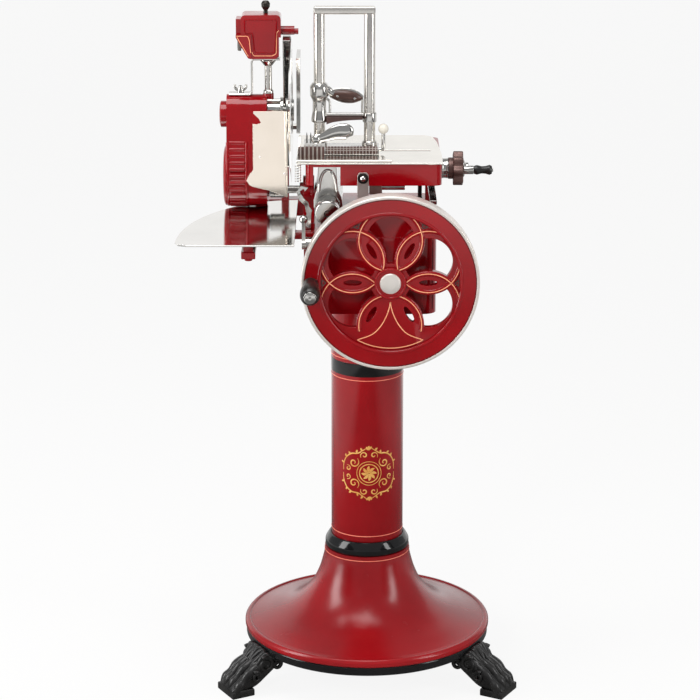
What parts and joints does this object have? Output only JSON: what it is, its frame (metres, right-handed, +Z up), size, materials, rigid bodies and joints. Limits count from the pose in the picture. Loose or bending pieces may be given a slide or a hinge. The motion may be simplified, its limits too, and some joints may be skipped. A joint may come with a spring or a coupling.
{
  "type": "hand crank meat slicer",
  "caption": "Hand cranked flywheel meat slicer with round knife, sliding food carriage, receiving tray and sharpener, on a flared cast pedestal with paw feet.",
  "frame": {"origin": "on the floor, under the centre of the whole machine's bounding box", "axes": "+X to the operator's right, +Y away from the operator at the flywheel, +Z up"},
  "size_m": [0.6946, 0.715, 1.447],
  "materials": {
    "red_enamel": "deep red gloss enamel with cream pinstripes",
    "black_enamel": "black gloss enamel",
    "polished_nickel": "nickel plated and polished",
    "mirror_steel": "mirror polished stainless steel",
    "machined_steel": "bright machined steel, lightly oiled",
    "dark_steel": "blackened steel",
    "bronze": "bronze bearing metal",
    "walnut": "oiled and varnished hardwood",
    "black_grip": "black lacquered grip",
    "abrasive": "bonded abrasive, fine grain"
  },
  "bodies": {
    "stand": {"feet": "black_enamel", "skirt_ring": "black_enamel", "pedestal_base": "red_enamel", "collar_ring": "black_enamel", "pedestal_column": "red_enamel", "stand_top": "red_enamel", "tie_rod": "machined_steel", "flange_bolts": "machined_steel", "machine_base": "red_enamel", "rear_cover": "red_enamel", "main_rail": "polished_nickel", "side_rail": "machined_steel", "gear_plate": "machined_steel", "gear_cover": "black_enamel", "shaft_bushes": "bronze", "case_arm": "red_enamel", "chain_case": "red_enamel", "case_cover": "red_enamel", "drive_chain": "dark_steel", "blade_guard": "polished_nickel", "sharpener_post": "polished_nickel", "tray_bracket": "black_enamel"},
    "flywheel_set": {"flywheel": "red_enamel", "hub_cap": "polished_nickel", "flywheel_shaft": "machined_steel", "flywheel_bevel": "machined_steel", "crank_pin": "machined_steel"},
    "grip": {"crank_grip": "black_grip"},
    "cross_shaft_set": {"cross_shaft": "machined_steel", "cross_bevel": "machined_steel", "train_gear": "machined_steel"},
    "idler": {"idler_gear": "machined_steel"},
    "drive_shaft_set": {"drive_shaft": "machined_steel"},
    "blade_set": {"blade": "mirror_steel", "blade_spindle": "machined_steel"},
    "rocker": {"rocker_arm": "dark_steel"},
    "carriage": {"carriage_body": "red_enamel", "table_plate": "polished_nickel", "slide_plate": "polished_nickel", "carriage_shoe": "polished_nickel"},
    "roller": {"carriage_roller": "machined_steel"},
    "feed_screw": {"lead_screw": "machined_steel", "handwheel": "polished_nickel"},
    "feed_grip": {"handwheel_grip": "black_grip"},
    "vice": {"vice_base": "polished_nickel", "press_frame": "polished_nickel"},
    "press": {"press_arm": "polished_nickel", "press_handle": "walnut", "press_plate": "dark_steel"},
    "clamp": {"clamp_lever": "polished_nickel"},
    "feed_catch": {"feed_lever": "dark_steel"},
    "gauge": {"gauge_plate": "mirror_steel"},
    "thickness_arm": {"thickness_lever": "dark_steel"},
    "sharpener": {"sharpener_box": "red_enamel"},
    "sharpener_screw": {"sharpener_knob": "polished_nickel"},
    "stone_a": {"grinding_stone": "abrasive"},
    "stone_b": {"honing_stone": "abrasive"},
    "tray": {"receiving_tray": "mirror_steel"},
    "deflector": {"slice_deflector": "mirror_steel"},
    "trip": {"trip_lever": "dark_steel"}
  },
  "joints": [
    {"name": "flywheel_turn", "type": "hinge", "parent": "stand", "child": "flywheel_set", "pos_m": [0.0753, -0.2265, 0.924], "axis": [0, 1, 0], "continuous": true},
    {"name": "crank_grip_spin", "type": "hinge", "parent": "flywheel_set", "child": "grip", "pos_m": [-0.0827, -0.2985, 0.924], "axis": [0, 1, 0], "continuous": true},
    {"name": "cross_shaft_turn", "type": "hinge", "parent": "stand", "child": "cross_shaft_set", "pos_m": [0.0317, 0.1021, 0.924], "axis": [1, 0, 0], "continuous": true},
    {"name": "idler_turn", "type": "hinge", "parent": "stand", "child": "idler", "pos_m": [-0.0923, 0.0486, 1.00371], "axis": [1, 0, 0], "continuous": true},
    {"name": "drive_shaft_turn", "type": "hinge", "parent": "stand", "child": "drive_shaft_set", "pos_m": [-0.1583, 0.0135, 1.056], "axis": [1, 0, 0], "continuous": true},
    {"name": "blade_turn", "type": "hinge", "parent": "stand", "child": "blade_set", "pos_m": [-0.1283, 0.0135, 1.222], "axis": [1, 0, 0], "continuous": true},
    {"name": "carriage_slide", "type": "slide", "parent": "stand", "child": "carriage", "axis": [0, 1, 0], "range_m": [-0.06, 0.15]},
    {"name": "rocker_swing", "type": "hinge", "parent": "stand", "child": "rocker", "pos_m": [0.1407, 0.1074, 0.866], "axis": [1, 0, 0], "range_deg": [-34.6, 13.9]},
    {"name": "roller_turn", "type": "hinge", "parent": "carriage", "child": "roller", "pos_m": [0.1627, -0.0465, 1.0863], "axis": [1, 0, 0], "range_deg": [-716.6, 286.8]},
    {"name": "feed_screw_turn", "type": "hinge", "parent": "carriage", "child": "feed_screw", "pos_m": [0.1817, -0.0065, 1.105], "axis": [1, 0, 0], "range_deg": [-110, 3603]},
    {"name": "feed_grip_spin", "type": "hinge", "parent": "feed_screw", "child": "feed_grip", "pos_m": [0.2667, -0.0225, 1.105], "axis": [1, 0, 0], "continuous": true},
    {"name": "vice_slide", "type": "slide", "parent": "carriage", "child": "vice", "axis": [1, 0, 0], "range_m": [-0.003, 0.1]},
    {"name": "press_slide", "type": "slide", "parent": "vice", "child": "press", "axis": [0, 0, 1], "range_m": [-0.036, 0.12]},
    {"name": "clamp_lever_lift", "type": "hinge", "parent": "vice", "child": "clamp", "pos_m": [-0.0733, -0.0845, 1.181], "axis": [0, 1, 0], "range_deg": [-40, 0]},
    {"name": "feed_lever_swing", "type": "hinge", "parent": "carriage", "child": "feed_catch", "pos_m": [0.0212, -0.1265, 1.111], "axis": [0, 1, 0], "range_deg": [-20, 20]},
    {"name": "thickness_lever_turn", "type": "hinge", "parent": "stand", "child": "thickness_arm", "pos_m": [-0.0863, -0.1585, 0.982], "axis": [1, 0, 0], "range_deg": [-35.2, 0.3]},
    {"name": "gauge_slide", "type": "slide", "parent": "stand", "child": "gauge", "axis": [1, 0, 0], "range_m": [-0.003, 0]},
    {"name": "sharpener_lift", "type": "slide", "parent": "stand", "child": "sharpener", "axis": [0, 0, 1], "range_m": [0, 0.06]},
    {"name": "sharpener_knob_turn", "type": "hinge", "parent": "sharpener", "child": "sharpener_screw", "pos_m": [-0.1753, 0.0135, 1.425], "axis": [0, 0, 1], "range_deg": [0, 720]},
    {"name": "grinding_stone_spin", "type": "hinge", "parent": "sharpener", "child": "stone_a", "pos_m": [-0.2233, -0.0005, 1.36], "axis": [1, 0, 0], "continuous": true},
    {"name": "honing_stone_spin", "type": "hinge", "parent": "sharpener", "child": "stone_b", "pos_m": [-0.2233, 0.0275, 1.36], "axis": [1, 0, 0], "continuous": true},
    {"name": "tray_slide", "type": "slide", "parent": "stand", "child": "tray", "axis": [1, 0, 0], "range_m": [-0.08, 0]},
    {"name": "deflector_swing", "type": "hinge", "parent": "stand", "child": "deflector", "pos_m": [-0.1943, -0.0695, 1.15], "axis": [0, 0, 1], "range_deg": [-60, 0]},
    {"name": "trip_lever_swing", "type": "hinge", "parent": "stand", "child": "trip", "pos_m": [-0.0908, -0.0825, 0.996], "axis": [0, 1, 0], "range_deg": [-12, 4]}
  ],
  "couplings": [
    {"joint": "cross_shaft_turn", "follows": "flywheel_turn", "ratio": -1},
    {"joint": "idler_turn", "follows": "flywheel_turn", "ratio": 1.2857},
    {"joint": "drive_shaft_turn", "follows": "flywheel_turn", "ratio": -2.5714},
    {"joint": "blade_turn", "follows": "flywheel_turn", "ratio": -2.8421},
    {"joint": "rocker_swing", "follows": "carriage_slide", "rad_per_m": -4.017},
    {"joint": "roller_turn", "follows": "carriage_slide", "rad_per_m": -83.333},
    {"joint": "feed_screw_turn", "follows": "vice_slide", "rad_per_m": 628.32},
    {"joint": "thickness_lever_turn", "follows": "gauge_slide", "rad_per_m": 203.6}
  ]
}
